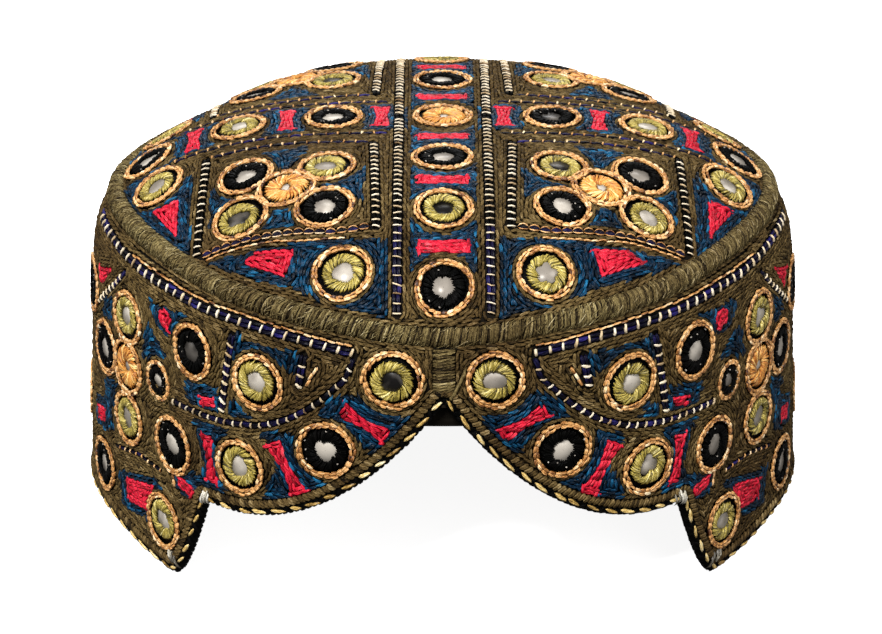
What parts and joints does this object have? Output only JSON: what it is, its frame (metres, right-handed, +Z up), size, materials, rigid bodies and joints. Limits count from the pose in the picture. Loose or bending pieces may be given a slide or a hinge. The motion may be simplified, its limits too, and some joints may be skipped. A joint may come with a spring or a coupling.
{
  "type": "balochi cap",
  "caption": "Stiff embroidered mirror-work cap with a low domed crown, two half-round front lobes and a corded hem.",
  "frame": {"origin": "middle of the bounding box at the level of the hem that the cap stands on", "axes": "+Z up through the crown, -Y towards the front seam, +X to the picture's right"},
  "size_m": [0.2046, 0.1819, 0.1134],
  "materials": {
    "olive_thread": "dense rows of olive stem stitch in matte cotton thread",
    "wrapped_roll": "thick roll wrapped across with olive thread",
    "hem_rope": "twisted cord of black and pale gold strands",
    "lining": "plain grey-brown cotton lining",
    "blue_thread": "silky blue filling stitches",
    "red_thread": "silky red filling stitches",
    "gold_thread": "gold chain stitch rings with a metallic glint",
    "green_thread": "yellow-green buttonhole stitches around mirrors",
    "black_thread": "glossy black buttonhole stitches around mirrors",
    "orange_thread": "gold-orange filling stitches of the middle roundels",
    "braid": "navy cord couched with cream stitches",
    "mirror_glass": "thin silvered glass showing in the middle of each roundel"
  },
  "bodies": {
    "root": {"crown_panel": "olive_thread", "side_band": "olive_thread", "edge_roll": "wrapped_roll", "front_seam": "wrapped_roll", "hem_cord": "hem_rope", "notch_lining": "lining"}
  },
  "joints": []
}
